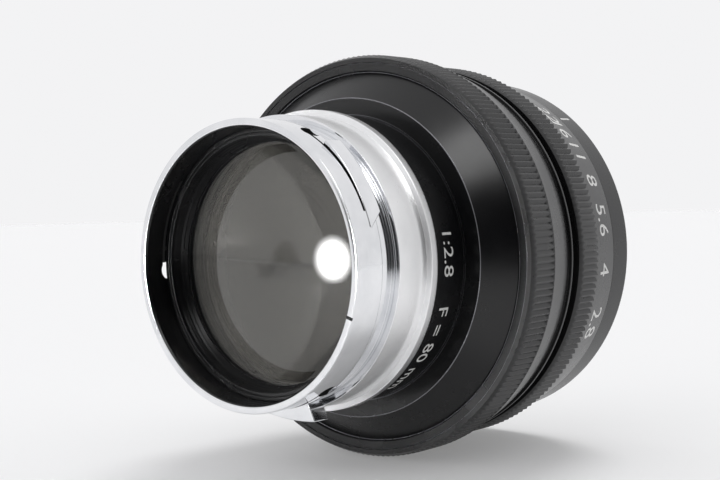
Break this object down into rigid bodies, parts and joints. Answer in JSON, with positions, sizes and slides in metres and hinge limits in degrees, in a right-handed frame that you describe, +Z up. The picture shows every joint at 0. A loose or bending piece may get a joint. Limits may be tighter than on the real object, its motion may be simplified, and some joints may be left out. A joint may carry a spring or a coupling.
{
  "type": "enlarger lens",
  "caption": "Black lens head with a chrome sprung bayonet barrel, knurled grip and aperture rings, click stops and a working multi-blade iris.",
  "frame": {"origin": "on the optical axis, in the plane of the flange face that seats on the bayonet mount", "axes": "+Y along the optical axis from the bayonet end towards the filter thread, +Z up with the lens lying on its side, +X towards the side that shows the aperture scale"},
  "size_m": [0.072, 0.0695, 0.072],
  "materials": {
    "chrome": "satin to polished chrome",
    "black_paint": "satin black",
    "black_anodised": "satin black anodised",
    "matt_black": "matt black",
    "glass": "polished and coated",
    "brass": "turned",
    "steel": "polished",
    "blued_steel": "blackened"
  },
  "bodies": {
    "lens_body": {"bayonet_barrel": "chrome", "rear_cell": "matt_black", "rear_retaining_ring": "matt_black", "rear_element": "glass", "rear_spacer": "matt_black", "rear_pair_near": "glass", "rear_pair_far": "glass", "rear_baffle": "matt_black", "neck_tube": "black_paint", "cone_shell": "black_paint", "grip_ring": "black_anodised", "rear_collar": "black_anodised", "main_sleeve": "matt_black", "detent_ball": "steel", "detent_spring": "brass", "detent_screw": "steel", "iris_base": "matt_black", "iris_snap_ring": "steel", "front_cell": "matt_black", "front_pair_near": "glass", "front_pair_far": "glass", "pair_retaining_ring": "matt_black", "front_element": "glass", "front_retaining_ring": "black_anodised", "filter_ring": "black_anodised"},
    "aperture": {"aperture_ring": "black_anodised", "drive_screw": "steel", "iris_cam_ring": "brass"},
    "blade_1": {"iris_blade_1": "blued_steel"},
    "blade_2": {"iris_blade_2": "blued_steel"},
    "blade_3": {"iris_blade_3": "blued_steel"},
    "blade_4": {"iris_blade_4": "blued_steel"},
    "blade_5": {"iris_blade_5": "blued_steel"},
    "blade_6": {"iris_blade_6": "blued_steel"}
  },
  "joints": [
    {"name": "aperture_turn", "type": "hinge", "parent": "lens_body", "child": "aperture", "pos_m": [0, 0.0396, 0], "axis": [0, -1, 0], "range_deg": [0, 72]},
    {"name": "blade_1_swing", "type": "hinge", "parent": "lens_body", "child": "blade_1", "pos_m": [0.0255, 0.033, 0], "axis": [0, -1, 0], "range_deg": [0, 25]},
    {"name": "blade_2_swing", "type": "hinge", "parent": "lens_body", "child": "blade_2", "pos_m": [0.01275, 0.033, -0.02208], "axis": [0, -1, 0], "range_deg": [0, 25]},
    {"name": "blade_3_swing", "type": "hinge", "parent": "lens_body", "child": "blade_3", "pos_m": [-0.01275, 0.033, -0.02208], "axis": [0, -1, 0], "range_deg": [0, 25]},
    {"name": "blade_4_swing", "type": "hinge", "parent": "lens_body", "child": "blade_4", "pos_m": [-0.0255, 0.033, 0], "axis": [0, -1, 0], "range_deg": [0, 25]},
    {"name": "blade_5_swing", "type": "hinge", "parent": "lens_body", "child": "blade_5", "pos_m": [-0.01275, 0.033, 0.02208], "axis": [0, -1, 0], "range_deg": [0, 25]},
    {"name": "blade_6_swing", "type": "hinge", "parent": "lens_body", "child": "blade_6", "pos_m": [0.01275, 0.033, 0.02208], "axis": [0, -1, 0], "range_deg": [0, 25]}
  ],
  "couplings": [
    {"joint": "blade_1_swing", "follows": "aperture_turn", "ratio": 0.34},
    {"joint": "blade_2_swing", "follows": "aperture_turn", "ratio": 0.34},
    {"joint": "blade_3_swing", "follows": "aperture_turn", "ratio": 0.34},
    {"joint": "blade_4_swing", "follows": "aperture_turn", "ratio": 0.34},
    {"joint": "blade_5_swing", "follows": "aperture_turn", "ratio": 0.34},
    {"joint": "blade_6_swing", "follows": "aperture_turn", "ratio": 0.34}
  ]
}
